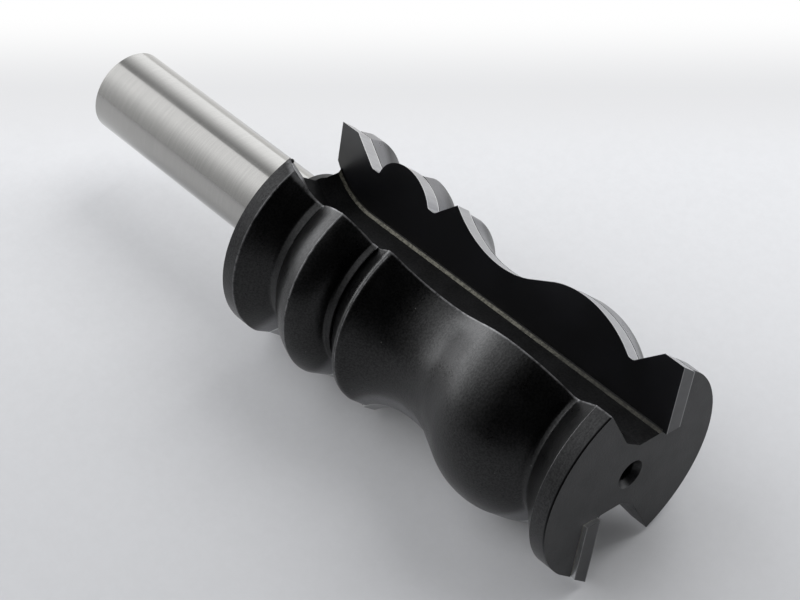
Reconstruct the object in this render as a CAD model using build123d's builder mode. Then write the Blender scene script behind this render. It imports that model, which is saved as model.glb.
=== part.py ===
from build123d import *
import os
from math import cos, radians, sin, sqrt

# A two-flute moulding router bit that lies on its side. Millimetres and degrees.
# X runs along the axis towards the cutting end, and X = 0 is the shoulder where shank and head meet.
# The blades run the whole length of the head; the steel between them stops short of their front ends.
# The head is drawn in three local directions:
#   station - distance back from the front ends of the blades, along the axis
#   along   - out from the axis, parallel to the first blade's rake face
#   across  - square to that rake face, through the blade's thickness

# ---- Shank and shoulder ----
shank_diameter = 12.7
shank_length = 40.1
shank_chamfer = 0.6
collar_diameter = 16.4
collar_length = 0.97

# ---- Moulding, listed from the front face back to the shoulder ----
cutting_radius = 16.38
front_land = 3.2
front_slope = 4.25
front_neck = 0.86
front_neck_depth = 3.83
lobe_rise = 8.69
lobe_fall = 5.25
lobe_fall_depth = 1.24
ogee_run = 3.5
ogee_depth = 2.99
cove_fall = 5.25
cove_depth = 4.23
cove_rise = 8.99
ridge_depth = 0.18
ridge_slope = 3.76
neck_depth = 3.62
middle_neck = 1.26
bead_width = 9.58
rear_neck = 1.41
rear_slope = 3.5
rear_land = 3.1
neck_round = 0.45

# ---- Wings: the steel form behind each blade ----
front_overhang = 0.6
flank_step = 0.8
rear_flank_step = 0.42
wing_relief = 0.45
ridge_flat = 0.85
crease_shift = 0.8

# ---- Chip gullets ----
rake_offset = 4.8
floor_height = 4.7
floor_edge = 0.44
facet_rise = 1.8
facet_width = 2.94
heel_wall_angle = -34.0
runout_length = 8.1
runout_rise = 4.6

# ---- Carbide blades and their brazed seats ----
blade_thickness = 2.6
flank_slope = 0.75
braze_gap = 0.12
root_bead_width = 0.62
root_bead_height = 0.35
seam_recess = 0.35

# ---- Turning centre in the front face ----
centre_drill_diameter = 3.2
centre_drill_depth = 8.0
centre_mouth_diameter = 4.3
centre_cone_angle = 60

# ---- Resting attitude: the roll that lays a blade tip and the heels of the other wing on the table ----
rest_roll = 12.8

# Stations of the moulding's corners.
land_end = front_land
front_neck_start = land_end + front_slope
lobe_start = front_neck_start + front_neck
lobe_apex = lobe_start + lobe_rise
ogee_start = lobe_apex + lobe_fall
ogee_end = ogee_start + ogee_run
cove_bottom = ogee_end + cove_fall
ridge = cove_bottom + cove_rise
middle_neck_start = ridge + ridge_slope
bead_start = middle_neck_start + middle_neck
bead_apex = bead_start + bead_width / 2
bead_end = bead_start + bead_width
crease = bead_apex - crease_shift
rear_slope_start = bead_end + rear_neck
rear_land_start = rear_slope_start + rear_slope
head_length = rear_land_start + rear_land
wing_end = head_length - collar_length
runout_start = head_length - runout_length
# the arc that leaves the floor without a corner
runout_radius = (runout_length**2 + runout_rise**2) / (2 * runout_rise)

# Far enough out to clear the whole head.
clear = 1.5 * cutting_radius
blade_back = rake_offset + blade_thickness
pocket_wall = rake_offset - braze_gap

# Working planes: both start on the axis, level with the front ends of the blades.
along_dir = Vector(0, sin(radians(rest_roll)), cos(radians(rest_roll)))
across_dir = Vector(0, cos(radians(rest_roll)), -sin(radians(rest_roll)))
front_centre = Vector(head_length, 0, 0)
# local x = along, local y = across, extrusion runs back towards the shoulder
front_plane = Plane(origin=front_centre, x_dir=along_dir, z_dir=(-1, 0, 0))
# local x = station, local y = along, extrusion runs across
long_plane = Plane(origin=front_centre, x_dir=(-1, 0, 0), z_dir=across_dir)
rake_plane = long_plane.offset(rake_offset)
steel_front = Plane(origin=(head_length - front_overhang, 0, 0), z_dir=(1, 0, 0))
shoulder_plane = Plane.YZ


def moulding(place, start, end, draw_bead):
    """Draw the moulding between two stations.

    place turns a station and a radius on the cutting circle into a sketch point.
    """

    def at(station, depth):
        return place(station, cutting_radius - depth)

    Polyline(
        at(start, 0),
        at(land_end, 0),
        at(front_neck_start, front_neck_depth),
        at(lobe_start, front_neck_depth),
    )
    ThreePointArc(at(lobe_start, front_neck_depth), at(lobe_apex, 0), at(ogee_start, lobe_fall_depth))
    Line(at(ogee_start, lobe_fall_depth), at(ogee_end, ogee_depth))
    ThreePointArc(at(ogee_end, ogee_depth), at(cove_bottom, cove_depth), at(ridge, ridge_depth))
    Polyline(at(ridge, ridge_depth), at(middle_neck_start, neck_depth), at(bead_start, neck_depth))
    draw_bead(at)
    Polyline(at(bead_end, neck_depth), at(rear_slope_start, neck_depth), at(rear_land_start, 0), at(end, 0))


def ground_bead(at):
    """The bead as the blades are ground to it: one arc."""
    ThreePointArc(at(bead_start, neck_depth), at(bead_apex, 0), at(bead_end, neck_depth))


def turned_bead(at):
    """The bead as the steel is turned: two flatter arcs that meet in a crease."""
    ThreePointArc(at(bead_start, neck_depth), at((bead_start + crease) / 2, neck_depth / 3), at(crease, 0))
    ThreePointArc(at(crease, 0), at((crease + bead_end) / 2, neck_depth / 3), at(bead_end, neck_depth))


def on_rake(station, radius):
    """Where the cutting circle of this radius crosses the rake face."""
    return station, sqrt(radius**2 - rake_offset**2)


def on_form(station, radius):
    """The steel form lies inside the cutting circle and is turned about a shifted axis."""
    step = rear_flank_step if station > middle_neck_start else flank_step
    return station, radius - step - wing_relief


def on_blade_back(station, radius):
    """Where the ground flank leaves the blade's back face, less the recess of the braze."""
    place = on_rake(station, radius)
    return place[0], place[1] - flank_slope * blade_thickness - seam_recess


def above_floor(level):
    """The space outside a floor at this level, which runs out towards the shoulder in an arc."""
    with BuildSketch() as space:
        with BuildLine():
            Line((0, level), (runout_start, level))
            RadiusArc((runout_start, level), (head_length, level + runout_rise), -runout_radius)
            Polyline((head_length, level + runout_rise), (head_length, clear), (0, clear), (0, level))
        make_face()
    return space.sketch


def half_turn(shape):
    """The same shape on the other side of the axis."""
    return shape.rotate(Axis.X, 180)


# ---- Wing form: the moulding turned about an axis shifted towards the cutting edge ----
with BuildPart() as wing_form:
    with BuildSketch(long_plane):
        with BuildLine():
            moulding(on_form, front_overhang, wing_end, turned_bead)
            Polyline(
                on_form(wing_end, cutting_radius),
                (wing_end, 0),
                (front_overhang, 0),
                on_form(front_overhang, cutting_radius),
            )
        make_face()
        chamfer(vertices().sort_by_distance(on_form(ridge, cutting_radius - ridge_depth))[0], ridge_flat)
    revolve(axis=Axis(front_centre, (-1, 0, 0)))
    split(bisect_by=long_plane, keep=Keep.TOP)
wing = wing_form.part.moved(Location(along_dir * wing_relief))

# ---- Gullet: floor, facet and heel wall, which all run out towards the shoulder in the same arc ----
with BuildPart() as gullet:
    with BuildSketch(long_plane.offset(floor_edge)):
        add(above_floor(floor_height))
    extrude(amount=pocket_wall - floor_edge)
    # the same outline, leaning outwards as it leaves the blade: first the facet, then the heel wall
    with BuildSketch(long_plane.offset(floor_edge)):
        add(above_floor(floor_height))
    facet = along_dir * facet_rise - across_dir * facet_width
    extrude(amount=facet.length, dir=facet)
    with BuildSketch(long_plane.offset(floor_edge - facet_width)):
        add(above_floor(floor_height + facet_rise))
    heel_wall = along_dir * cos(radians(heel_wall_angle)) + across_dir * sin(radians(heel_wall_angle))
    extrude(amount=clear, dir=heel_wall)

# ---- Pocket: the seat milled for a blade and its braze ----
with BuildPart() as pocket:
    with BuildSketch(long_plane.offset(pocket_wall)):
        add(above_floor(floor_height - braze_gap))
    extrude(amount=blade_thickness + 2 * braze_gap)

# ---- Carbide blank: the blade before its edge is ground ----
with BuildPart() as blank:
    with BuildSketch(rake_plane):
        add(above_floor(floor_height))
    extrude(amount=blade_thickness)

# ---- Steel body: shank, collar and both wings are one piece ----
with BuildPart() as steel_body:
    add(wing)
    add(half_turn(wing))
    with BuildSketch(shoulder_plane):
        Circle(collar_diameter / 2)
    extrude(amount=collar_length)
    add(gullet.part, mode=Mode.SUBTRACT)
    add(half_turn(gullet.part), mode=Mode.SUBTRACT)
    add(pocket.part, mode=Mode.SUBTRACT)
    add(half_turn(pocket.part), mode=Mode.SUBTRACT)
    with BuildSketch(shoulder_plane):
        Circle(shank_diameter / 2)
    extrude(amount=-shank_length)
    free_end = edges().sort_by(Axis.X)[0]
    chamfer(free_end, shank_chamfer)
    with Locations(steel_front):
        CounterSinkHole(
            centre_drill_diameter / 2,
            centre_mouth_diameter / 2,
            depth=centre_drill_depth,
            counter_sink_angle=centre_cone_angle,
        )
steel_body.part.label = "steel_body"

# ---- Carbide blades: the blank ground to the moulding, with a flank that falls away behind the edge ----
with BuildPart() as carbide_blade_a:
    with BuildSketch(rake_plane):
        with BuildLine():
            moulding(on_rake, 0, head_length, ground_bead)
            Polyline(
                on_rake(head_length, cutting_radius),
                (head_length, 0),
                (0, 0),
                on_rake(0, cutting_radius),
            )
        make_face()
        # the wheel leaves the corners at the bottom of the narrow necks rounded
        neck_corners = [
            (front_neck_start, front_neck_depth),
            (lobe_start, front_neck_depth),
            (middle_neck_start, neck_depth),
            (bead_start, neck_depth),
            (bead_end, neck_depth),
            (rear_slope_start, neck_depth),
        ]
        for station, depth in neck_corners:
            neck_corner = on_rake(station, cutting_radius - depth)
            fillet(vertices().sort_by_distance(neck_corner)[0], neck_round)
    fall = across_dir - along_dir * flank_slope
    extrude(amount=blade_thickness * fall.length, dir=fall)
    add(blank.part, mode=Mode.INTERSECT)
carbide_blade_a.part.label = "carbide_blade_a"

with BuildPart() as carbide_blade_b:
    add(half_turn(carbide_blade_a.part))
carbide_blade_b.part.label = "carbide_blade_b"

# ---- Braze seams: the film round the blade's seat, and the bead along its root ----
with BuildPart() as braze_seam_a:
    add(pocket.part)
    add(blank.part, mode=Mode.SUBTRACT)
    # in front of the blade the film ends at the gullet floor
    with BuildSketch(long_plane.offset(pocket_wall)):
        add(above_floor(floor_height))
    extrude(amount=braze_gap, mode=Mode.SUBTRACT)
    # behind the blade it ends just under the ground flank
    with BuildSketch(long_plane.offset(blade_back)):
        with BuildLine():
            moulding(on_blade_back, 0, head_length, ground_bead)
            Polyline(
                on_blade_back(head_length, cutting_radius),
                (head_length, clear),
                (0, clear),
                on_blade_back(0, cutting_radius),
            )
        make_face()
    extrude(amount=braze_gap, mode=Mode.SUBTRACT)
    # the bead fills the corner between gullet floor and rake face, and follows the run-out
    with BuildLine(rake_plane) as corner:
        Line((0, floor_height), (runout_start, floor_height))
        RadiusArc((runout_start, floor_height), (head_length, floor_height + runout_rise), -runout_radius)
    with BuildSketch(front_plane):
        with BuildLine():
            Polyline(
                (floor_height, rake_offset - root_bead_width),
                (floor_height, rake_offset),
                (floor_height + root_bead_height, rake_offset),
                close=True,
            )
        make_face()
    sweep(path=corner.line)
    # it ends with the wing at both ends
    with BuildSketch(front_plane):
        Rectangle(2 * clear, 2 * clear)
    extrude(amount=front_overhang, mode=Mode.SUBTRACT)
    with BuildSketch(front_plane.offset(wing_end)):
        Rectangle(2 * clear, 2 * clear)
    extrude(amount=clear, mode=Mode.SUBTRACT)
braze_seam_a.part.label = "braze_seam_a"

with BuildPart() as braze_seam_b:
    add(half_turn(braze_seam_a.part))
braze_seam_b.part.label = "braze_seam_b"

os.makedirs("parts", exist_ok=True)
export_step(steel_body.part, "parts/steel_body.step")
export_step(carbide_blade_a.part, "parts/carbide_blade_a.step")
export_step(carbide_blade_b.part, "parts/carbide_blade_b.step")
export_step(braze_seam_a.part, "parts/braze_seam_a.step")
export_step(braze_seam_b.part, "parts/braze_seam_b.step")
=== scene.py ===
import math
import bmesh
import bpy
import numpy as np
from mathutils import Matrix, Vector
from mathutils.geometry import tessellate_polygon


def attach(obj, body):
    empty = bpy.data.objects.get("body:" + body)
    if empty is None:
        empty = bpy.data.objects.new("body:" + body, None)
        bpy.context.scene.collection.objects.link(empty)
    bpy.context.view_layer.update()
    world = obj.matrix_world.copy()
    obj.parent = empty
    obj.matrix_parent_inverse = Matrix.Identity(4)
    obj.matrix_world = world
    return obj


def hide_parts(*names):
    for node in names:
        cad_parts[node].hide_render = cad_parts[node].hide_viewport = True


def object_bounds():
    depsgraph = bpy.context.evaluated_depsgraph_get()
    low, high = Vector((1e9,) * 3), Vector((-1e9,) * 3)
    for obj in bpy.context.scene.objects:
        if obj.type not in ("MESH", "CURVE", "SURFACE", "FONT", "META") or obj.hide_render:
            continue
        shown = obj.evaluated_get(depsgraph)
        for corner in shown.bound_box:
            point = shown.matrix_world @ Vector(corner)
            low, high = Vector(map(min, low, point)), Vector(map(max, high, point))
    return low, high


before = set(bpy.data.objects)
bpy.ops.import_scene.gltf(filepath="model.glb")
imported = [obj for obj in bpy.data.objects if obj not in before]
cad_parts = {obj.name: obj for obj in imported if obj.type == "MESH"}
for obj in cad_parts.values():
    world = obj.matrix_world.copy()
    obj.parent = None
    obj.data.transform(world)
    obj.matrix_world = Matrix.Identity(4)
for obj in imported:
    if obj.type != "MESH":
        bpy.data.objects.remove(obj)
cad_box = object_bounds()

# ---- The moulding ----
# The outline that the bit cuts, from the front ends of the blades back to the shoulder. The carbide is
# ground to it, and the steel behind is turned a little inside it. Lengths are in millimetres: a station
# is measured from the front ends, and a depth inwards from the cutting radius.
CUTTING_RADIUS = 16.38
HEAD_LENGTH = 62.6
LAND_END = 3.2
LOBE_TOP = 17.0
BEAD_TOP = 49.8
REAR_LAND = 59.5
# a neck is the station where its flat starts, the one where it ends, and its depth
FRONT_NECK = (7.45, 8.31, 3.83)
MIDDLE_NECK = (43.75, 45.01, 3.62)
REAR_NECK = (54.59, 56.0, 3.62)
# these are stations with their depths
OGEE = ((22.25, 1.24), (25.75, 2.99))
COVE_BOTTOM = (31.0, 4.23)
RIDGE = (39.99, 0.18)
# on the steel the bead is two arcs that meet in a crease, and the middle of each is this many times
# shallower than the neck
CREASE = 49.0
FRONT_BEAD_SHALLOWNESS = 4
REAR_BEAD_SHALLOWNESS = 3
NECK_ROUND = 0.3
RIDGE_ROUND = 1.25
ROUND_POINTS = 15
SPACING = 0.04
# one point is kept for this much length, this many degrees of turning, or this much length at a ridge
RUN_STRIDE = 1.1
TURN_STRIDE = 4.0
RIDGE_STRIDE = 0.12
RIDGE_REACH = 0.35


def run(start, end):
    """A straight run as closely spaced points: the start plus a share of the way to the end."""
    start, end = np.array(start, float), np.array(end, float)
    count = int(np.hypot(*(end - start)) / SPACING) + 2
    return start + np.linspace(0, 1, count)[:, None] * (end - start)


def bow(start, through, end):
    """The circular arc through three points as closely spaced points.

    The centre lies where the perpendicular bisectors of the two chords cross. Each point is the centre
    plus the radius times cosine and sine of an angle that goes evenly from the first point to the last.
    """
    (ax, ay), (bx, by), (cx, cy) = start, through, end
    scale = 2 * (ax * (by - cy) + bx * (cy - ay) + cx * (ay - by))
    a2, b2, c2 = ax * ax + ay * ay, bx * bx + by * by, cx * cx + cy * cy
    centre = np.array([a2 * (by - cy) + b2 * (cy - ay) + c2 * (ay - by),
                       a2 * (cx - bx) + b2 * (ax - cx) + c2 * (bx - ax)]) / scale
    radius = math.hypot(ax - centre[0], ay - centre[1])
    first = math.atan2(ay - centre[1], ax - centre[0])
    last = math.atan2(cy - centre[1], cx - centre[0])
    angle = np.linspace(first, last, int(abs(last - first) * radius / SPACING) + 2)
    return centre + radius * np.stack([np.cos(angle), np.sin(angle)], 1)


def soften(path, corner, reach):
    """Replace the stretch within reach of a corner by a parabola that leaves and enters it along the path."""
    near = np.flatnonzero(np.hypot(*(path - corner).T) <= reach)
    before, after = path[near[0] - 1], path[near[-1] + 1]
    u = np.linspace(0, 1, ROUND_POINTS)[:, None]
    curve = (1 - u) ** 2 * before + 2 * u * (1 - u) * np.array(corner) + u**2 * after
    return np.vstack([path[: near[0] - 1], curve, path[near[-1] + 2:]])


def moulding(start, end, turned):
    """The outline as rows of station and depth, from one station to another: straight runs and arcs in turn.

    turned gives the steel's outline, with the creased bead and the softened ridge. Otherwise it is the
    carbide's.
    """
    necks = [((first, depth), (last, depth)) for first, last, depth in (FRONT_NECK, MIDDLE_NECK, REAR_NECK)]
    front, middle, rear = necks
    if turned:
        neck_depth = MIDDLE_NECK[2]
        crease = (CREASE, 0)
        ahead = ((middle[1][0] + CREASE) / 2, neck_depth / FRONT_BEAD_SHALLOWNESS)
        behind = ((rear[0][0] + CREASE) / 2, neck_depth / REAR_BEAD_SHALLOWNESS)
        bead = [bow(middle[1], ahead, crease), bow(crease, behind, rear[0])]
    else:
        bead = [bow(middle[1], (BEAD_TOP, 0), rear[0])]
    stretches = [run((start, 0), (LAND_END, 0)), run((LAND_END, 0), front[0]), run(*front),
                 bow(front[1], (LOBE_TOP, 0), OGEE[0]), run(*OGEE), bow(OGEE[1], COVE_BOTTOM, RIDGE),
                 run(RIDGE, middle[0]), run(*middle), *bead, run(*rear),
                 run(rear[1], (REAR_LAND, 0)), run((REAR_LAND, 0), (end, 0))]
    path = np.vstack([stretches[0]] + [stretch[1:] for stretch in stretches[1:]])
    for neck in necks:
        for corner in neck:
            path = soften(path, corner, NECK_ROUND)
    if turned:
        path = soften(path, RIDGE, RIDGE_ROUND)
    return path


def thin_out(path, ridges):
    """Keep a point each time the running sum passes a whole number.

    The sum is of length, turning and length weighted by nearness to a ridge, each divided by its stride.
    Nearness falls off as the exponential of minus the squared distance.
    """
    step = np.diff(path, axis=0)
    length = np.hypot(*step.T)
    heading = np.degrees(np.unwrap(np.arctan2(step[:, 1], step[:, 0])))
    turning = np.abs(np.diff(heading, prepend=heading[0]))
    middle = (path[1:, 0] + path[:-1, 0]) / 2
    nearness = sum(np.exp(-((middle - ridge) / RIDGE_REACH) ** 2) for ridge in ridges)
    each = length / RUN_STRIDE + turning / TURN_STRIDE + nearness * length / RIDGE_STRIDE
    amount = np.concatenate([[0], np.cumsum(each)])
    keep = np.unique(np.searchsorted(amount, np.arange(0, amount[-1], 1.0)))
    return path[np.unique(np.append(keep, len(path) - 1))]


# ---- The steel body: its head ----
# The head is turned with the shank from one bar of tool steel, then milled: two wings with a gullet in
# front of each and a pocket for a blade at its foot. The wings are relieved behind the blades. Its satin
# black coating is worn along the ridges and the heels, and ground away right behind the blades.
MM = 0.001
ROLL = math.radians(12.8)
FRONT_OVERHANG = 0.6
FLANK_STEP = 0.8
REAR_FLANK_STEP = 0.42
WING_RELIEF = 0.45
WING_END = 61.63
RAKE = 4.8
BLADE_THICKNESS = 2.6
FLANK_SLOPE = 0.75
BRAZE = 0.12
FLOOR = 4.7
FLOOR_EDGE = 0.44
FACET_TOP = (6.5, -2.5)
HEEL_ANGLE = math.radians(-34)
RUNOUT_START = 54.5
RUNOUT_RADIUS = 9.432
# the steel behind a blade is ground with it this far back, and this far below the foot of its flank
GROUND_REACH = 2.5
FLANK_SINK = 0.06
# the wings lie this much inside their true circle, so that they stay within the solid's facets
HAIR = 0.006
RIDGES = (FRONT_OVERHANG, LAND_END, RIDGE[0], CREASE, REAR_LAND, WING_END)
# how much narrower than the plain one the worn line is at the front land, ridge, crease and rear land
RIDGE_NARROWING = (3.2, 1.2, 0.8, 0.8)
# how much narrower the worn heel gets for each millimetre that the gullet has run out
HEEL_NARROWING = 2.5
# how far along each part of the head's cross-section its points lie
FLOOR_SHARES = np.linspace(0, 1, 5, endpoint=False)
FACET_SHARES = np.linspace(0, 1, 4, endpoint=False)
WALL_SHARES = 1 - np.array([1, 0.7, 0.45, 0.25, 0.12, 0.05, 0.02])
WING_SHARES = np.concatenate([[0, 0.08, 0.2, 0.4, 0.8], np.linspace(1.6, 92, 44),
                              [94, 96, 98, 99, 99.6, 100]]) / 100
POCKET_SHARES = np.linspace(0, 1, 4)[1:]
FIRST_ON_WING = len(FLOOR_SHARES) + len(FACET_SHARES) + len(WALL_SHARES)
# a distance at which nothing is worn
FAR = 9.0
# the body's finishes, by their places in its list
WORN, GULLET, FACE, BARE = range(4)
# how near to a ridge, a heel or a blade the wear starts, and where it is full, in millimetres
RIDGE_WEAR = (0.17, 0.04)
HEEL_WEAR = (0.32, 0.06)
GROUND_STRIP = (4.5, 2.0)
# how far to either side of its station the grey of the front and of the rear land fades out
FRONT_BLUR = 0.2
REAR_BLUR = 0.1
# where, behind the front face, the grey ends and the black line along the edge begins
GREY_END = (0.15, 0.4)
LINE_START = (0.4, 0.2)
# a radian round the axis counts as this many millimetres of length in the turned streaks
RADIAN_IN_STREAKS = 2
# how much of the flecks and the ground strips shows, and how metallic rubbed places and the line are
FLECK_SHARE = 0.32
GROUND_SHARE = 0.7
RUBBED_METAL = 0.6
LINE_METAL = 0.97
PORE_HEIGHT = 0.7
RING_HEIGHT = 0.5
FLECK = (0.22, 0.22, 0.21, 1)
LAND_GREY = (0.023, 0.023, 0.024, 1)
RUBBED = (0.2, 0.2, 0.205, 1)
GROUND = (0.24, 0.24, 0.25, 1)
COAT_SPECULAR = 0.45


def place(station, along, across):
    """Metres in the model's frame: x falls with the station, y and z are the other two turned by the roll."""
    y = along * math.sin(ROLL) + across * math.cos(ROLL)
    z = along * math.cos(ROLL) - across * math.sin(ROLL)
    return np.stack(np.broadcast_arrays(HEAD_LENGTH - station, y, z), -1) * MM


def rise(station):
    """How far the gullet floor has run out: radius less the root of radius squared less distance squared."""
    past = np.maximum(np.asarray(station, float) - RUNOUT_START, 0)
    return RUNOUT_RADIUS - np.sqrt(RUNOUT_RADIUS**2 - past**2)


def between(start, end, shares):
    """Points on straight lines from the rows of start to the rows of end: start plus shares of the way."""
    return start[:, None, :] + shares[None, :, None] * (end - start)[:, None, :]


def wing_outline(station, depth):
    """One half of the head's cross-section at each station, from the foot of one blade to that of the other.

    It goes along the gullet floor, up the facet and the heel wall, round the wing, and down the other
    blade's pocket. Floor, facet and heel wall all move outwards by the same lift where the gullet runs out.
    The wing is a circle whose centre is shifted towards the other blade, which relieves it. Near that blade
    a straight grind takes its place, flush with the foot of the blade's flank.
    The second and third results are each point's distance from the heel edge and from the other blade.
    """
    step = np.where(station > MIDDLE_NECK[0], REAR_FLANK_STEP, FLANK_STEP)
    radius = CUTTING_RADIUS - depth - step - WING_RELIEF - HAIR
    lift = rise(station)
    one = np.ones_like(station)
    back = RAKE + BLADE_THICKNESS + BRAZE
    foot = np.stack([FLOOR + lift, one * (RAKE - BRAZE)], 1)
    brink = np.stack([FLOOR + lift, one * FLOOR_EDGE], 1)
    facet = np.stack([FACET_TOP[0] + lift, one * FACET_TOP[1]], 1)
    pocket = np.stack([-(FLOOR - BRAZE + lift), -one * back], 1)
    seat = np.stack([-(FLOOR - BRAZE + lift), -one * (RAKE - BRAZE)], 1)
    # the heel wall goes on from the facet's top at the heel angle until it meets the wing's circle
    heel_way = np.array([math.cos(HEEL_ANGLE), math.sin(HEEL_ANGLE)])
    off = facet + [WING_RELIEF, 0]
    inward = off @ heel_way
    reach = -inward + np.sqrt(inward**2 - (off * off).sum(1) + radius**2)
    heel = facet + reach[:, None] * heel_way
    first = np.arctan2(heel[:, 1], heel[:, 0] + WING_RELIEF)
    last = -math.pi + np.arcsin(back / radius)
    angle = first[:, None] + WING_SHARES * (last - first)[:, None]
    wing = radius[:, None, None] * np.stack([np.cos(angle), np.sin(angle)], -1) - [WING_RELIEF, 0]
    # the grind goes straight from the foot of the flank to where it merges with the circle
    flank = np.sqrt((CUTTING_RADIUS - depth) ** 2 - RAKE**2) - FLANK_SLOPE * BLADE_THICKNESS - FLANK_SINK
    merge = np.sqrt(radius**2 - (back + GROUND_REACH) ** 2) + WING_RELIEF
    off_blade = -wing[..., 1] - back
    near_blade = (wing[..., 0] < 0) & (off_blade < GROUND_REACH)
    ground = off_blade * ((flank - merge) / GROUND_REACH)[:, None] - flank[:, None]
    wing[..., 0] = np.where(near_blade, ground, wing[..., 0])
    half = np.concatenate([between(foot, brink, FLOOR_SHARES), between(brink, facet, FACET_SHARES),
                           between(facet, heel, WALL_SHARES), wing,
                           between(wing[:, -1], pocket, POCKET_SHARES), seat[:, None]], 1)
    narrowing = 1 + HEEL_NARROWING * np.clip(lift, 0, 1)
    from_heel = np.hypot(*np.moveaxis(half - heel[:, None], -1, 0)) / narrowing[:, None]
    from_blade = np.hypot(*np.moveaxis(half - wing[:, -1:], -1, 0))
    return half, from_heel, from_blade


def grid_faces(rows, columns):
    """Four-sided faces between neighbouring points of a grid numbered row by row, each row a closed ring."""
    i, j = np.meshgrid(np.arange(rows - 1), np.arange(columns), indexing="ij")
    this, following = i * columns, (i + 1) * columns
    beside = (j + 1) % columns
    return np.stack([this + j, following + j, following + beside, this + beside], -1).reshape(-1, 4)


def new_finish(name):
    """A material, its node tree and its shader."""
    finish = bpy.data.materials.new(name)
    finish.use_nodes = True
    return finish, finish.node_tree, finish.node_tree.nodes["Principled BSDF"]


def add(tree, kind, inputs=(), **settings):
    """A node with its settings, and its inputs given as values or as other nodes' outputs."""
    node = tree.nodes.new(kind)
    for key, value in settings.items():
        setattr(node, key, value)
    for key, value in dict(inputs).items():
        if isinstance(value, bpy.types.NodeSocket):
            tree.links.new(value, node.inputs[key])
        else:
            node.inputs[key].default_value = value
    return node


def reckon(tree, kind, a, b):
    """One step of arithmetic on two numbers or outputs."""
    return add(tree, "ShaderNodeMath", {0: a, 1: b}, operation=kind).outputs[0]


def fade(tree, value, start, end, low=0.0, high=1.0):
    """A smooth change from low to high as the value goes from start to end."""
    inputs = {"Value": value, "From Min": start, "From Max": end, "To Min": low, "To Max": high}
    return add(tree, "ShaderNodeMapRange", inputs, interpolation_type="SMOOTHSTEP").outputs[0]


def grain(tree, where, scale, detail=3.0, roughness=0.55, stretch=(1, 1, 1)):
    """Noise of about this many lumps to the metre, closer together along each axis by its stretch."""
    mapped = add(tree, "ShaderNodeMapping", {"Vector": where, "Scale": stretch}).outputs[0]
    inputs = {"Vector": mapped, "Scale": scale, "Detail": detail, "Roughness": roughness}
    return add(tree, "ShaderNodeTexNoise", inputs).outputs["Fac"]


def blend(tree, share, a, b):
    """A colour between a and b."""
    return add(tree, "ShaderNodeMix", {0: share, 6: a, 7: b}, data_type="RGBA").outputs[2]


def grey(level, blueness=1.0):
    """A grey whose blue is this many times as strong as the rest."""
    return (level, level, level * blueness, 1)


def emboss(tree, shader, height, strength, distance):
    """Bump on the shader: a height of one stands out by the distance in metres, as strongly as is said."""
    bump = add(tree, "ShaderNodeBump", {"Height": height, "Strength": strength, "Distance": distance})
    tree.links.new(bump.outputs[0], shader.inputs["Normal"])


def wear_and_edge_shade_of_coat(tree, where, coat):
    """The coat with its worn places and a black line of painted shade at its front edge, and how metallic
    they are.

    The lands are greyed in streaks that run round the axis. The ridges and the heel edges are rubbed
    through, and the steel behind a blade is ground bare, each by the distance from it kept on the mesh.
    """
    patchy = grain(tree, where, scale=900)
    ridge = add(tree, "ShaderNodeAttribute", attribute_name="ridge").outputs["Fac"]
    heel = add(tree, "ShaderNodeAttribute", attribute_name="heel").outputs["Fac"]
    blade = add(tree, "ShaderNodeAttribute", attribute_name="blade").outputs["Fac"]
    length, sideways, up = add(tree, "ShaderNodeSeparateXYZ", {0: where}).outputs
    # noise by the length and, much more slowly, by the angle round the axis
    round_axis = reckon(tree, "MULTIPLY", reckon(tree, "ARCTAN2", up, sideways), RADIAN_IN_STREAKS * MM)
    turned_lines = add(tree, "ShaderNodeCombineXYZ", {0: length, 1: round_axis}).outputs[0]
    streaks = grain(tree, turned_lines, scale=5000, roughness=0.7)
    land_end = (HEAD_LENGTH - LAND_END) * MM
    rear_land = (HEAD_LENGTH - REAR_LAND) * MM
    front_face = (HEAD_LENGTH - FRONT_OVERHANG) * MM
    front_land = reckon(tree, "MULTIPLY",
                        fade(tree, length, land_end - FRONT_BLUR * MM, land_end + FRONT_BLUR * MM),
                        fade(tree, length, front_face - GREY_END[0] * MM, front_face - GREY_END[1] * MM))
    lands = reckon(tree, "ADD",
                   fade(tree, length, rear_land + REAR_BLUR * MM, rear_land - REAR_BLUR * MM), front_land)
    greyed = reckon(tree, "MULTIPLY", lands, fade(tree, streaks, 0.3, 0.7, 0.2, 0.65))
    coat = blend(tree, greyed, coat, LAND_GREY)
    at_ridge = reckon(tree, "MULTIPLY", fade(tree, ridge, *RIDGE_WEAR),
                      fade(tree, patchy, 0.3, 0.65, 0.12, 0.6))
    at_heel = reckon(tree, "MULTIPLY", fade(tree, heel, *HEEL_WEAR),
                     fade(tree, patchy, 0.34, 0.62, 0.18, 0.7))
    rubbed = reckon(tree, "MAXIMUM", at_ridge, at_heel)
    coat = blend(tree, rubbed, coat, RUBBED)
    bare = fade(tree, blade, *GROUND_STRIP, 0.0, GROUND_SHARE)
    coat = blend(tree, bare, coat, GROUND)
    metal = reckon(tree, "MAXIMUM", bare, reckon(tree, "MULTIPLY", rubbed, RUBBED_METAL))
    # a black line of painted shade follows the front edge
    painted_edge_shade = fade(tree, length, front_face - LINE_START[0] * MM, front_face - LINE_START[1] * MM,
                     0.0, LINE_METAL)
    return coat, reckon(tree, "MAXIMUM", metal, painted_edge_shade)


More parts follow.
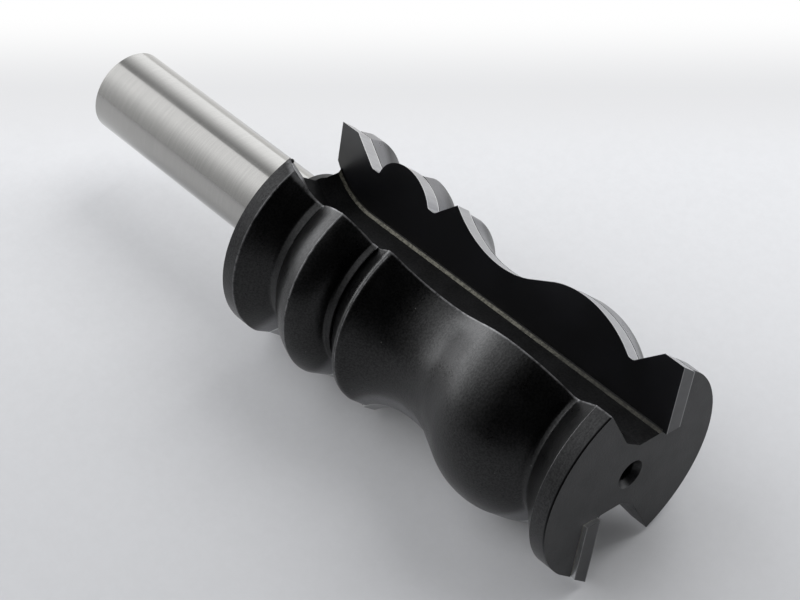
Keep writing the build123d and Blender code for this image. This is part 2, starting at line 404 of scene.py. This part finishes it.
def black_coating(name, low, high, gloss, worn):
    """Satin black coating over milled steel: fine pores, cloudy gloss and a few pale flecks.

    low and high are the two greys it clouds between, and gloss is its roughness. The pores are part metal
    under a black colour, so they gleam less.
    """
    finish, tree, shader = new_finish(name)
    where = add(tree, "ShaderNodeTexCoord").outputs["Object"]
    cloud = grain(tree, where, scale=260, detail=4)
    pores = grain(tree, where, scale=3600, detail=2, roughness=0.7)
    rings = grain(tree, where, scale=420, roughness=0.6, stretch=(9, 0.6, 0.6))
    fleck = add(tree, "ShaderNodeTexVoronoi", {"Vector": where, "Scale": 620, "Randomness": 1}).outputs
    rare = add(tree, "ShaderNodeSeparateColor", {0: fleck["Color"]}).outputs[0]
    speck = reckon(tree, "MULTIPLY", fade(tree, fleck["Distance"], 0.075, 0.04), fade(tree, rare, 0.87, 0.9))
    coat = blend(tree, fade(tree, cloud, 0.35, 0.7), grey(low, 1.06), grey(high, 1.06))
    coat = blend(tree, reckon(tree, "MULTIPLY", speck, FLECK_SHARE), coat, FLECK)
    metal = fade(tree, pores, 0.34, 0.66, 0.4, 0.0)
    if worn:
        # the worn places, and the black line of painted shade along the front edge
        coat, metal_of_wear_and_edge_shade = wear_and_edge_shade_of_coat(tree, where, coat)
        metal = reckon(tree, "MAXIMUM", metal, metal_of_wear_and_edge_shade)
    tree.links.new(coat, shader.inputs["Base Color"])
    tree.links.new(metal, shader.inputs["Metallic"])
    shader.inputs["Specular IOR Level"].default_value = COAT_SPECULAR
    rough = reckon(tree, "ADD", fade(tree, cloud, 0.3, 0.75, gloss, gloss + 0.08),
                   fade(tree, pores, 0.3, 0.8, 0.0, 0.08))
    tree.links.new(rough, shader.inputs["Roughness"])
    height = reckon(tree, "ADD", reckon(tree, "MULTIPLY", pores, PORE_HEIGHT),
                    reckon(tree, "MULTIPLY", rings, RING_HEIGHT))
    emboss(tree, shader, height, strength=0.6, distance=0.05 * MM)
    return finish


# the body is several skins, one after another: their points, and their faces with a finish for each
body_points, body_faces, body_finish = [], [], []


def add_skin(points, *parts):
    """Add a skin to the body. A part is faces that number its points, with one finish or one for each."""
    first = sum(len(skin) for skin in body_points)
    body_points.append(points)
    for faces, finish in parts:
        body_faces.extend((faces + first).tolist())
        body_finish.extend(np.broadcast_to(finish, len(faces)).tolist())


path = thin_out(moulding(FRONT_OVERHANG, WING_END, True), RIDGES)
station, depth = path.T
half, from_heel, from_blade = wing_outline(station, depth)
section = np.concatenate([half, -half], 1)
rows, columns = section.shape[:2]
travel = np.concatenate([[0], np.cumsum(np.hypot(*np.diff(path, axis=0).T))])
ridge_travel = np.interp(RIDGES[1:-1], station, travel)
from_ridge = np.min(np.abs(travel[:, None] - ridge_travel) * RIDGE_NARROWING, axis=1)
column = np.arange(half.shape[1])
on_wing = (column >= FIRST_ON_WING) & (column < FIRST_ON_WING + len(WING_SHARES))
wear_marks = {"heel": np.tile(from_heel, 2),
              "ridge": np.where(np.tile(on_wing, 2), from_ridge[:, None], FAR),
              "blade": np.tile(from_blade, 2)}
# the coat is worn on the wings and heel walls, not on the gullet floors and in the pockets
floor_and_facet = len(FLOOR_SHARES) + len(FACET_SHARES)
wall_and_wing = len(WALL_SHARES) + len(WING_SHARES) - 1
pocket_and_seat = len(POCKET_SHARES) + 2
finish_of_half = np.repeat((GULLET, WORN, GULLET), (floor_and_facet, wall_and_wing, pocket_and_seat))
head = place(station[:, None], section[..., 0], section[..., 1]).reshape(-1, 3)
add_skin(head, (grid_faces(rows, columns), np.tile(finish_of_half, 2 * (rows - 1))))

# ---- The steel body: the ends of its head ----
# The front is faced off flat and drilled with a turning centre, a short bore with a countersink, which
# held the bar in the lathe. The wings' rear ends are flat too, and the collar stands out of them.
HOLE_POINTS = 64
# the radius and the depth of each ring of the turning centre
HOLE = np.array([(2.15, 0), (1.6, 0.953), (1.6, 7.9), (0.9, 8.0)])


def flat_faces(*loops):
    """Triangles that fill a flat outline, with any further loops as holes in it, all numbered in one row."""
    return np.array(tessellate_polygon([[Vector((*point, 0)) for point in loop.tolist()] for loop in loops]))


hole_angle = np.linspace(0, 2 * math.pi, HOLE_POINTS, endpoint=False)
rim = np.stack([np.cos(hole_angle), np.sin(hole_angle)], 1)
hole = HOLE[:, 0, None, None] * rim
hole_points = place(FRONT_OVERHANG + HOLE[:, 1, None], hole[..., 0], hole[..., 1]).reshape(-1, 3)
hole_bottom = place(FRONT_OVERHANG + HOLE[-1, 1], np.zeros(1), np.zeros(1))
here = np.arange(HOLE_POINTS)
last_ring = columns + (len(HOLE) - 1) * HOLE_POINTS
bottom_faces = last_ring + np.stack([here, (here + 1) % HOLE_POINTS, np.full_like(here, HOLE_POINTS)], 1)
add_skin(np.vstack([place(FRONT_OVERHANG, *section[0].T), hole_points, hole_bottom]),
         (flat_faces(section[0], hole[0]), FACE),
         (columns + grid_faces(len(HOLE), HOLE_POINTS), FACE),
         (bottom_faces, FACE))
add_skin(place(WING_END, *section[-1].T), (flat_faces(section[-1]), GULLET))

# ---- The steel body: its collar and shank ----
# Both are the same bar as the head. The collar is black at its side, with the ends of the gullets cut into
# it, and its shoulder is bright. The shank is ground to fit a half inch collet, and chamfered at its end.
COLLAR_RADIUS = 8.2
SHANK_RADIUS = 6.35
SHANK_LENGTH = 40.1
SHANK_CHAMFER = 0.6
SHANK_RINGS = 12
ROUND_POINTS_OF_SHANK = 240
# stations and radii of two rings inside the wings, out of sight, and stations of the collar's rings
ROOT_RINGS = ((61.4, 7.0), (61.5, 7.2))
COLLAR_STATIONS = (WING_END, 61.7, 61.8, 62.2, HEAD_LENGTH)
# this keeps the division below from growing without limit
LEAST_COSINE = 0.1
STEEL_DARK = (0.375, 0.37, 0.355, 1)
STEEL_LIGHT = (0.405, 0.398, 0.382, 1)


def collar_outline(station, angle):
    """The collar's radius at each angle, or less where the last of a gullet is cut into it.

    A flat cut lies as far out as its distance from the axis divided by the cosine of the angle to it.
    """
    level = FLOOR + rise(station)
    slope = (FACET_TOP[0] - FLOOR) / (FLOOR_EDGE - FACET_TOP[1])
    radius = np.full_like(angle, COLLAR_RADIUS)
    for turn in (0, math.pi):
        cosine, sine = np.cos(angle + turn), np.sin(angle + turn)
        floor = level / np.maximum(cosine, LEAST_COSINE)
        facet = (level + slope * FLOOR_EDGE) / np.maximum(cosine + slope * sine, LEAST_COSINE)
        radius = np.minimum(radius, np.maximum(floor, facet))
    return radius


def ground_steel():
    """Bright tool steel, centreless ground: fine rings round the axis and a few long faint rubs."""
    finish, tree, shader = new_finish("ground tool steel")
    where = add(tree, "ShaderNodeTexCoord").outputs["Object"]
    rings = grain(tree, where, scale=300, detail=4, roughness=0.7, stretch=(14, 0.5, 0.5))
    rubs = grain(tree, where, scale=300, roughness=0.6, stretch=(0.25, 5, 5))
    haze = grain(tree, where, scale=90)
    colour = blend(tree, fade(tree, rings, 0.35, 0.7), STEEL_DARK, STEEL_LIGHT)
    tree.links.new(colour, shader.inputs["Base Color"])
    shader.inputs["Metallic"].default_value = 1.0
    rough = reckon(tree, "ADD", fade(tree, rings, 0.3, 0.75, 0.12, 0.15),
                   fade(tree, haze, 0.35, 0.7, 0.0, 0.05))
    rough = reckon(tree, "ADD", rough, fade(tree, rubs, 0.62, 0.8, 0.0, 0.06))
    tree.links.new(rough, shader.inputs["Roughness"])
    emboss(tree, shader, rings, strength=0.015, distance=0.03 * MM)
    return finish


turn = np.linspace(-math.pi, math.pi, ROUND_POINTS_OF_SHANK, endpoint=False)
shank_stations = HEAD_LENGTH + np.linspace(0, SHANK_LENGTH - SHANK_CHAMFER, SHANK_RINGS)
ring_stations = np.concatenate([[at for at, radius in ROOT_RINGS], COLLAR_STATIONS, shank_stations,
                                [HEAD_LENGTH + SHANK_LENGTH]])[:, None]
ring_radii = np.vstack([np.full_like(turn, radius) for at, radius in ROOT_RINGS]
                       + [collar_outline(at, turn) for at in COLLAR_STATIONS]
                       + [np.full_like(turn, SHANK_RADIUS)] * SHANK_RINGS
                       + [np.full_like(turn, SHANK_RADIUS - SHANK_CHAMFER)])
black_bands = len(ROOT_RINGS) + len(COLLAR_STATIONS) - 1
bright_bands = len(ring_radii) - 1 - black_bands
band_finish = np.repeat((GULLET, BARE), (black_bands * len(turn), bright_bands * len(turn)))
end_face = np.arange(len(turn))[None]
add_skin(place(ring_stations, ring_radii * np.cos(turn), ring_radii * np.sin(turn)).reshape(-1, 3),
         (grid_faces(len(ring_radii), len(turn)), band_finish),
         (end_face, GULLET),
         (end_face + (len(ring_radii) - 1) * len(turn), BARE))

# ---- The steel body: a burr, and all of it as one mesh ----
# A small burr of coating is left at the heel corner of one rear land. With it the skins above become one
# mesh, because head, collar and shank are one piece of steel.
BURR_RADIUS = 0.34
BURR_AHEAD = 0.3
BURR_SINK = (0.3, 0)
BURR_ROWS = 9
BURR_COLUMNS = 14
# points closer than this, in metres, are merged
SAME_POINT = 2e-7
BODY_SHARP_ANGLE = 18


def make_piece(name, points, faces, finishes, finish_of_face, sharp, marks=()):
    """A mesh object from points and faces, with doubles merged and the faces turned outwards.

    It is shaded smooth across edges of up to sharp degrees. marks are numbers kept on its points.
    """
    mesh = bpy.data.meshes.new(name)
    mesh.from_pydata(points.tolist(), [], faces)
    for finish in finishes:
        mesh.materials.append(finish)
    mesh.polygons.foreach_set("material_index", np.asarray(finish_of_face, np.int32))
    for key, values in dict(marks).items():
        layer = mesh.attributes.new(key, "FLOAT", "POINT")
        layer.data.foreach_set("value", np.asarray(values, np.float32))
    edit = bmesh.new()
    edit.from_mesh(mesh)
    bmesh.ops.remove_doubles(edit, verts=edit.verts, dist=SAME_POINT)
    bmesh.ops.dissolve_degenerate(edit, edges=edit.edges, dist=SAME_POINT / 2)
    bmesh.ops.recalc_face_normals(edit, faces=edit.faces)
    edit.to_mesh(mesh)
    edit.free()
    mesh.shade_smooth()
    mesh.set_sharp_from_angle(angle=math.radians(sharp))
    piece = bpy.data.objects.new(name, mesh)
    bpy.context.scene.collection.objects.link(piece)
    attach(piece, "root")
    return piece


# a ball: cosine of the height angle times cosine and sine of the turn, and the height angle's sine
burr_spot = place(WING_END - BURR_AHEAD, *(half[-1, FIRST_ON_WING - 1] - BURR_SINK))
burr_height = np.linspace(-math.pi / 2, math.pi / 2, BURR_ROWS)[:, None]
burr_turn = np.linspace(0, 2 * math.pi, BURR_COLUMNS, endpoint=False)
ball = np.stack(np.broadcast_arrays(np.cos(burr_height) * np.cos(burr_turn),
                                    np.cos(burr_height) * np.sin(burr_turn), np.sin(burr_height)), -1)
add_skin(burr_spot + ball.reshape(-1, 3) * BURR_RADIUS * MM, (grid_faces(BURR_ROWS, BURR_COLUMNS), WORN))

unworn = np.full(sum(len(skin) for skin in body_points) - rows * columns, FAR)
wear_marks = {key: np.concatenate([values.ravel(), unworn]) for key, values in wear_marks.items()}
body_finishes = [black_coating("worn black coating", low=0.001, high=0.002, gloss=0.26, worn=True),
                 black_coating("gullet coating", low=0.004, high=0.009, gloss=0.42, worn=False),
                 black_coating("face coating", low=0.006, high=0.009, gloss=0.36, worn=False),
                 ground_steel()]
body = make_piece("bit_body", np.vstack(body_points), body_faces, body_finishes, body_finish,
                  BODY_SHARP_ANGLE, wear_marks)
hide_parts("steel_body")

# ---- The two carbide blades ----
# Flat carbide strips, brazed into their pockets and then ground to the moulding together with the coating
# left on their rake faces. The ground flank falls away behind the edge.
ROOT_POINTS = 25
BLADE_SHARP_ANGLE = 32
# how far through the thickness each layer of points lies
LAYERS = np.array([0, 0.02, 0.06, 0.5, 1.0])
# how far from the rake face, and from the back, the honed edges end and are full, in millimetres
RAKE_EDGE = (0.22, 0.08)
BACK_EDGE = (0.25, 0.1)
# the blade's finishes, by their places in its list
RAKE_FACE, FLANK, FRONT_END = range(3)
COATED_DARK = (0.003, 0.003, 0.004, 1)
COATED_LIGHT = (0.006, 0.006, 0.008, 1)


def coated_carbide():
    """Black coating over lapped carbide: smoother than on the steel, with long faint lapping lines."""
    finish, tree, shader = new_finish("coated carbide")
    where = add(tree, "ShaderNodeTexCoord").outputs["Object"]
    cloud = grain(tree, where, scale=120)
    lap = grain(tree, where, scale=900, detail=2, roughness=0.6, stretch=(0.3, 6, 6))
    coat = blend(tree, fade(tree, cloud, 0.35, 0.7), COATED_DARK, COATED_LIGHT)
    tree.links.new(coat, shader.inputs["Base Color"])
    shader.inputs["Specular IOR Level"].default_value = 1.0
    tree.links.new(fade(tree, lap, 0.3, 0.75, 0.3, 0.36), shader.inputs["Roughness"])
    emboss(tree, shader, lap, strength=0.05, distance=0.02 * MM)
    return finish


def across_blade(tree, where):
    """Distance in millimetres from the plane through the axis that lies along the rake faces."""
    sideways, up = add(tree, "ShaderNodeSeparateXYZ", {0: where}).outputs[1:]
    across = reckon(tree, "SUBTRACT", reckon(tree, "MULTIPLY", sideways, math.cos(ROLL) / MM),
                    reckon(tree, "MULTIPLY", up, math.sin(ROLL) / MM))
    return add(tree, "ShaderNodeMath", {0: across}, operation="ABSOLUTE").outputs[0]


def ground_carbide(name, dark, light, edges):
    """Ground carbide with fine wheel marks and honed edges.

    dark and light are the two greys of its marks, and edges is the grey of its edges.
    """
    finish, tree, shader = new_finish(name)
    where = add(tree, "ShaderNodeTexCoord").outputs["Object"]
    wheel = grain(tree, where, scale=500, roughness=0.6, stretch=(16, 0.8, 0.8))
    metal = blend(tree, fade(tree, wheel, 0.3, 0.7), grey(dark, 1.02), grey(light, 1.02))
    across = across_blade(tree, where)
    back = RAKE + BLADE_THICKNESS
    honed = reckon(tree, "MAXIMUM", fade(tree, across, RAKE + RAKE_EDGE[0], RAKE + RAKE_EDGE[1]),
                   fade(tree, across, back - BACK_EDGE[0], back - BACK_EDGE[1]))
    tree.links.new(blend(tree, honed, metal, grey(edges)), shader.inputs["Base Color"])
    shader.inputs["Metallic"].default_value = 1.0
    tree.links.new(fade(tree, wheel, 0.3, 0.7, 0.3, 0.4), shader.inputs["Roughness"])
    emboss(tree, shader, wheel, strength=0.03, distance=0.03 * MM)
    return finish


# one loop round the strip, in the plane of the rake face: along the moulding, and back along the root,
# which follows the gullet floor
edge = thin_out(moulding(0, HEAD_LENGTH, False), (LAND_END, REAR_LAND, RIDGE[0]))
edge_along = np.sqrt((CUTTING_RADIUS - edge[:, 1]) ** 2 - RAKE**2)
root_station = np.append(HEAD_LENGTH - np.linspace(0, HEAD_LENGTH - RUNOUT_START, ROOT_POINTS), 0)
loop = np.vstack([np.stack([edge[:, 0], edge_along], 1),
                  np.stack([root_station, FLOOR + rise(root_station)], 1)])
fall = np.repeat((FLANK_SLOPE * BLADE_THICKNESS, 0), (len(edge), len(root_station)))
along = loop[:, 1] - LAYERS[:, None] * fall
across = RAKE + LAYERS[:, None] * BLADE_THICKNESS
side_finish = np.tile(np.append(np.full(len(loop) - 1, FLANK), FRONT_END), len(LAYERS) - 1)
back_faces = (len(LAYERS) - 1) * len(loop) + flat_faces(loop - np.stack([0 * fall, fall], 1))
blade_skin = ((flat_faces(loop), RAKE_FACE), (grid_faces(len(LAYERS), len(loop)), side_finish),
              (back_faces, FLANK))
blade_faces = [face for faces, finish in blade_skin for face in faces.tolist()]
blade_finish = np.concatenate([np.broadcast_to(finish, len(faces)) for faces, finish in blade_skin])
# the front ends get a far darker copy of the ground carbide, which is painted shade
carbide = [coated_carbide(),
           ground_carbide("ground carbide flank", dark=0.35, light=0.42, edges=0.66),
           ground_carbide("ground carbide end in painted shade", dark=0.06, light=0.09, edges=0.22)]
for name, side in (("carbide_a", 1), ("carbide_b", -1)):
    blade_points = place(loop[:, 0], side * along, side * across).reshape(-1, 3)
    blade = make_piece(name, blade_points, blade_faces, carbide, blade_finish, BLADE_SHARP_ANGLE)
    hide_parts("carbide_blade_" + name[-1])

# ---- The braze ----
# Silver braze that fills the film round each blade and shows as an even, dull bead along its root. The
# packed seams keep their shape and get its finish. Between bead and film they are painted near black as
# shade.
BRAZE_DARK = (0.07, 0.068, 0.055, 1)
BRAZE_LIGHT = (0.24, 0.23, 0.19, 1)
BRAZE_STAIN = (0.09, 0.088, 0.07, 1)
BRAZE_PAINTED_SHADE = (0.006, 0.006, 0.006, 1)
# millimetres across the blade: the crest of the bead lies between the first two, the film past the third
CREST_START = 4.15
CREST_END = 4.61
CREST_BLUR = 0.05
FILM_START = 5.4
FILM_BLUR = 0.2
# along the bit, between these, painted shade darkens the crest towards the front, down to this share
CLEAN_END = 30
DARK_START = 52
DARK_SHARE = 0.3


def braze_metal():
    """Olive-grey braze: slightly lumpy, dull, with darker flux stains. Painted shade darkens the seam except
    on the crest of the bead and the film, and darkens the crest more towards the front.
    """
    finish, tree, shader = new_finish("braze")
    where = add(tree, "ShaderNodeTexCoord").outputs["Object"]
    lumps = grain(tree, where, scale=2600, roughness=0.65)
    stain = grain(tree, where, scale=260)
    colour = blend(tree, fade(tree, lumps, 0.35, 0.65), BRAZE_DARK, BRAZE_LIGHT)
    colour = blend(tree, fade(tree, stain, 0.52, 0.75, 0.0, 0.6), colour, BRAZE_STAIN)
    across = across_blade(tree, where)
    crest = reckon(tree, "MULTIPLY",
                   fade(tree, across, CREST_START - CREST_BLUR, CREST_START + CREST_BLUR),
                   fade(tree, across, CREST_END + CREST_BLUR, CREST_END - CREST_BLUR))
    length = add(tree, "ShaderNodeSeparateXYZ", {0: where}).outputs[0]
    crest = reckon(tree, "MULTIPLY", crest,
                   fade(tree, length, CLEAN_END * MM, DARK_START * MM, 1.0, DARK_SHARE))
    # outside the crest of the bead and the film, the seam gets painted shade
    out_of_painted_shade = reckon(tree, "MAXIMUM", crest, fade(tree, across, FILM_START - FILM_BLUR, FILM_START + FILM_BLUR))
    tree.links.new(blend(tree, out_of_painted_shade, BRAZE_PAINTED_SHADE, colour), shader.inputs["Base Color"])
    shader.inputs["Metallic"].default_value = 0.6
    tree.links.new(fade(tree, lumps, 0.3, 0.7, 0.42, 0.6), shader.inputs["Roughness"])
    emboss(tree, shader, lumps, strength=0.4, distance=0.1 * MM)
    return finish


braze = braze_metal()
for node_name in ("braze_seam_a", "braze_seam_b"):
    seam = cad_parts[node_name]
    seam.data.materials.clear()
    seam.data.materials.append(braze)

# ---- The table ----
# A large plain table top of pale laminate, level with the lowest point of the bit. It is light grey round
# the bit, where it takes the shadow, and is lost in white further off. Its grey is painted shade, which
# darkens it towards the camera.
TABLE_SIZE = 3
# the near colours of the table and its glow are painted shade, which darkens the table towards the camera
TABLE_NEAR_PAINTED_SHADE = (0.475, 0.48, 0.495, 1)
TABLE_FAR = (0.70, 0.705, 0.72, 1)
TABLE_SPOT = (0.3, 0.3, 0.3, 1)
GLOW_NEAR_PAINTED_SHADE = (0.80, 0.805, 0.82, 1)
WHITE = (1, 1, 1, 1)
# x and y of the level direction in which the table turns white
AWAY = (-0.708, 0.706)
# where on that way, in metres, its colour, the glow's colour and the glow's share go from near to far
COLOUR_CHANGE = (-0.1, 0.07)
GLOW_CHANGE = (0.044, 0.064)
SHARE_CHANGE = (0.026, 0.046)
SHARE_NEAR = 0.04


def pale_table():
    """Pale laminate with a faint mottle, painted light grey near by as shade, and white far off.

    What is seen of it straight, in metal or through glass is partly plain brightness. That share is
    small near the bit, so the shadow stays, and whole far off.
    """
    finish, tree, shader = new_finish("pale table")
    where = add(tree, "ShaderNodeTexCoord").outputs["Object"]
    x, y = add(tree, "ShaderNodeSeparateXYZ", {0: where}).outputs[:2]
    away = reckon(tree, "ADD", reckon(tree, "MULTIPLY", x, AWAY[0]), reckon(tree, "MULTIPLY", y, AWAY[1]))
    colour = blend(tree, fade(tree, away, *COLOUR_CHANGE), TABLE_NEAR_PAINTED_SHADE, TABLE_FAR)
    noise = {"Vector": where, "Scale": 700, "Detail": 4, "Roughness": 0.7}
    mottle = add(tree, "ShaderNodeTexNoise", noise).outputs["Fac"]
    colour = blend(tree, fade(tree, mottle, 0.3, 0.7, 0.0, 0.055), colour, TABLE_SPOT)
    tree.links.new(colour, shader.inputs["Base Color"])
    shader.inputs["Roughness"].default_value = 0.7
    white = blend(tree, fade(tree, away, *GLOW_CHANGE), GLOW_NEAR_PAINTED_SHADE, WHITE)
    glow = add(tree, "ShaderNodeEmission", {"Color": white, "Strength": 1.0})
    ray = add(tree, "ShaderNodeLightPath").outputs
    seen = reckon(tree, "MAXIMUM", ray["Is Camera Ray"], ray["Is Glossy Ray"])
    seen = reckon(tree, "MAXIMUM", seen, ray["Is Transmission Ray"])
    share = reckon(tree, "MULTIPLY", seen, fade(tree, away, *SHARE_CHANGE, SHARE_NEAR, 1.0))
    mixed = add(tree, "ShaderNodeMixShader", {0: share, 1: shader.outputs[0], 2: glow.outputs[0]})
    tree.links.new(mixed.outputs[0], tree.nodes["Material Output"].inputs["Surface"])
    return finish


table_level = cad_box[0][2]
bpy.ops.mesh.primitive_plane_add(size=TABLE_SIZE, location=(0, 0, 0))
table = bpy.context.object
table.name = "table"
table.data.transform(Matrix.Translation((0, 0, table_level)))
table.data.materials.append(pale_table())

# ---- The light of the room ----
# The room is dim on the side of the cutting end and bright behind the shank, and the metal mirrors that
# bright wall. Two soft lamps light the table and give the shadow: a window and a ceiling light.
ROOM_TINT = (0.97, 0.98, 1.0, 1)
WALL_LEFT = 0.4
WALL_RIGHT = 1.5
WALL_CENTRE = 2.6
STRIP_SHADE = 0.72
GLEAM = 0.3
ROOM_DIM = 0.02
FAR_WINDOW = 3.2
FAR_WINDOW_WAY = (0.42, 0.9, 0.1)
# where each lamp stands, its side in metres and its power in watts
WINDOW = ((0.06, 0.40, 0.56), 0.42, 2.55)
CEILING_LIGHT = ((-0.2, -0.65, 0.95), 1.2, 4.9)


def room_brightness(room):
    """How bright the room is in each direction: smooth bands of the direction's x, y and z, added up.

    A wall brightens towards minus x and from left to right, and has a brighter centre. A shaded strip
    stands high on it, with a faint gleam beside it. One more window lies far off on the other side.
    """
    direction = add(room, "ShaderNodeTexCoord").outputs["Generated"]
    x, y, z = add(room, "ShaderNodeSeparateXYZ", {0: direction}).outputs
    behind = reckon(room, "MULTIPLY", x, -1.0)
    level = fade(room, y, -0.95, -0.25, WALL_LEFT, WALL_RIGHT)
    wall = reckon(room, "ADD", reckon(room, "MULTIPLY", fade(room, behind, 0.0, 0.55), level),
                  fade(room, behind, 0.66, 0.92, 0.0, WALL_CENTRE))
    strip = reckon(room, "MULTIPLY", fade(room, y, 0.12, 0.17), fade(room, y, 0.75, 0.25))
    strip = reckon(room, "MULTIPLY", strip, fade(room, z, 0.2, 0.5))
    unshaded = reckon(room, "SUBTRACT", 1.0, reckon(room, "MULTIPLY", strip, STRIP_SHADE))
    wall = reckon(room, "MULTIPLY", wall, unshaded)
    gleam = reckon(room, "MULTIPLY", fade(room, y, 0.5, 0.8, 0.0, GLEAM), fade(room, behind, 0.3, 0.6))
    towards = add(room, "ShaderNodeVectorMath", {0: direction, 1: FAR_WINDOW_WAY}, operation="DOT_PRODUCT")
    far_window = fade(room, towards.outputs["Value"], 0.8, 0.96, ROOM_DIM, FAR_WINDOW)
    return reckon(room, "ADD", reckon(room, "ADD", wall, gleam), far_window)


def lamp(name, spot, size, power):
    """A soft square lamp that looks at the bit. It isn't mirrored in the metal: the walls are."""
    light = bpy.data.lights.new(name, "AREA")
    light.size = size
    light.energy = power
    holder = bpy.data.objects.new(name, light)
    holder.location = spot
    holder.rotation_euler = (-holder.location).to_track_quat("-Z", "Y").to_euler()
    holder.visible_glossy = False
    bpy.context.scene.collection.objects.link(holder)


world = bpy.data.worlds.new("room")
bpy.context.scene.world = world
world.use_nodes = True
background = world.node_tree.nodes["Background"]
background.inputs["Color"].default_value = ROOM_TINT
world.node_tree.links.new(room_brightness(world.node_tree), background.inputs["Strength"])
lamp("window", *WINDOW)
lamp("ceiling_light", *CEILING_LIGHT)

# ---- The camera ----
# It looks down at the bit from the cutting end with a long lens, and is rolled by about two degrees.
SENSOR_WIDTH = 36
LENS = 102.07
CAMERA_SPOT = (0.178589, -0.136842, 0.222069)
CAMERA_RIGHT = (0.677752, 0.734562, -0.032729)
CAMERA_UP = (-0.519698, 0.510044, 0.685397)
CAMERA_BACK = (0.520160, -0.447520, 0.727434)

camera = bpy.data.cameras.new("camera")
camera.sensor_width = SENSOR_WIDTH
camera.lens = LENS
camera_object = bpy.data.objects.new("camera", camera)
bpy.context.scene.collection.objects.link(camera_object)
stance = Matrix((CAMERA_RIGHT, CAMERA_UP, CAMERA_BACK)).transposed().to_4x4()
stance.translation = CAMERA_SPOT
camera_object.matrix_world = stance
bpy.context.scene.camera = camera_object
bpy.context.scene.view_settings.view_transform = "Standard"
